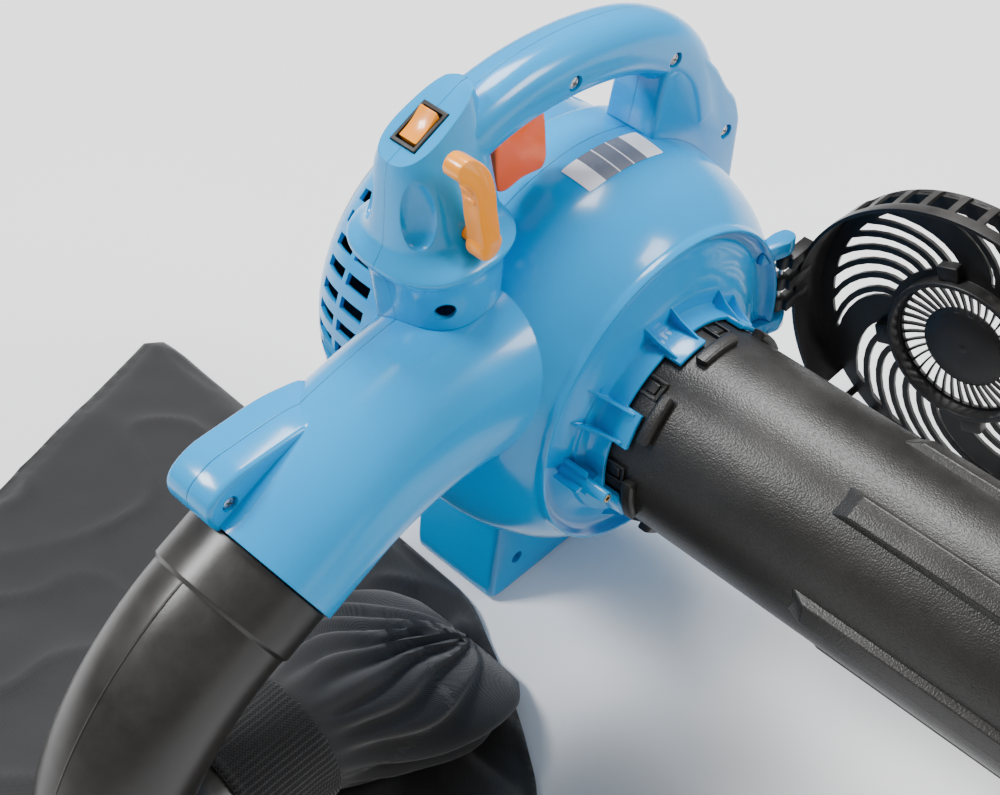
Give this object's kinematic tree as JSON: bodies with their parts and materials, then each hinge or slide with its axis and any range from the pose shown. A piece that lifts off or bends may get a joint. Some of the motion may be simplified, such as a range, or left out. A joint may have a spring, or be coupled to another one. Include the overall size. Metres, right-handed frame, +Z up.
{
  "type": "electric leaf blower and garden vacuum",
  "caption": "Hand-held electric garden blower in vacuum set-up: round fan casing with a bow handle, long suction tube, swung-open intake grille, curved outlet duct and flat debris bag.",
  "frame": {"origin": "on the ground at the foot's sole, straight below the fan axis and in the plane where the two casing halves meet", "axes": "+Z up; the fan axis runs along Y with the air intake and the suction tube on the -Y side; the outlet neck points towards -X"},
  "size_m": [0.7213, 1.3749, 0.475],
  "materials": {
    "blue_plastic": "glossy moulded ABS, bright blue",
    "black_plastic": "fine moulded black nylon",
    "tube_plastic": "black polypropylene with a leather grain",
    "duct_plastic": "blow-moulded satin black polyethylene",
    "trigger_plastic": "glossy red-orange",
    "lever_plastic": "glossy orange",
    "bag_fabric": "woven black polyester",
    "knit_cuff": "ribbed black elastic knit",
    "steel": "zinc plated",
    "frame_steel": "pressed sheet",
    "core_steel": "stacked laminations",
    "copper": "enamelled copper",
    "brass": "turned brass",
    "cast_aluminium": "die cast",
    "circuit_board": "solder mask",
    "capacitor_film": "dipped film",
    "carbon": "pressed carbon"
  },
  "bodies": {
    "machine": {"intake_shell": "blue_plastic", "motor_side_shell": "blue_plastic", "motor_housing": "blue_plastic", "handle_half_intake": "blue_plastic", "handle_half_motor": "blue_plastic", "motor_end_cover": "black_plastic", "rocker_bezel": "black_plastic", "trigger_switch": "black_plastic", "interlock_switch": "black_plastic", "cable_gland": "black_plastic", "upper_tube": "tube_plastic", "lower_tube": "tube_plastic", "elbow_duct": "duct_plastic", "debris_bag": "bag_fabric", "bag_cuff": "knit_cuff", "handle_screw_1": "steel", "handle_screw_2": "steel", "handle_screw_3": "steel", "outlet_screw": "steel", "hinge_pin": "steel", "front_bearing": "steel", "rear_bearing": "steel", "motor_frame": "frame_steel", "stator_core": "core_steel", "field_winding_front": "copper", "field_winding_rear": "copper", "threaded_insert": "brass", "brush_holder_upper": "brass", "brush_holder_lower": "brass", "capacitor": "capacitor_film", "front_bracket": "cast_aluminium", "rear_bracket": "cast_aluminium", "speed_board": "circuit_board", "carbon_brush_upper": "carbon", "carbon_brush_lower": "carbon"},
    "rotor": {"impeller": "black_plastic", "impeller_nut": "steel", "rotor_shaft": "steel", "armature_core": "core_steel", "commutator": "copper", "cooling_fan": "black_plastic"},
    "trigger": {"trigger": "trigger_plastic"},
    "side_lever": {"side_lever": "lever_plastic"},
    "power_rocker": {"power_rocker": "lever_plastic"},
    "intake_grille": {"intake_grille": "black_plastic"}
  },
  "joints": [
    {"name": "rotor_spin", "type": "hinge", "parent": "machine", "child": "rotor", "pos_m": [0, -0.006, 0.235], "axis": [0, 1, 0], "continuous": true},
    {"name": "trigger_pull", "type": "hinge", "parent": "machine", "child": "trigger", "pos_m": [-0.0665, 0, 0.4335], "axis": [0, -1, 0], "range_deg": [0, 10], "stiffness_Nm_per_rad": 0.4, "springref_deg": -17.19},
    {"name": "lever_swing", "type": "hinge", "parent": "machine", "child": "side_lever", "pos_m": [-0.117, -0.0372, 0.403], "axis": [0, 1, 0], "range_deg": [0, 40]},
    {"name": "rocker_tilt", "type": "hinge", "parent": "machine", "child": "power_rocker", "pos_m": [-0.1196, 0, 0.457], "axis": [0, 1, 0], "range_deg": [0, 12]},
    {"name": "grille_hinge", "type": "hinge", "parent": "machine", "child": "intake_grille", "pos_m": [0.121, -0.086, 0.235], "axis": [0, 0, 1], "range_deg": [-12, 25]}
  ]
}
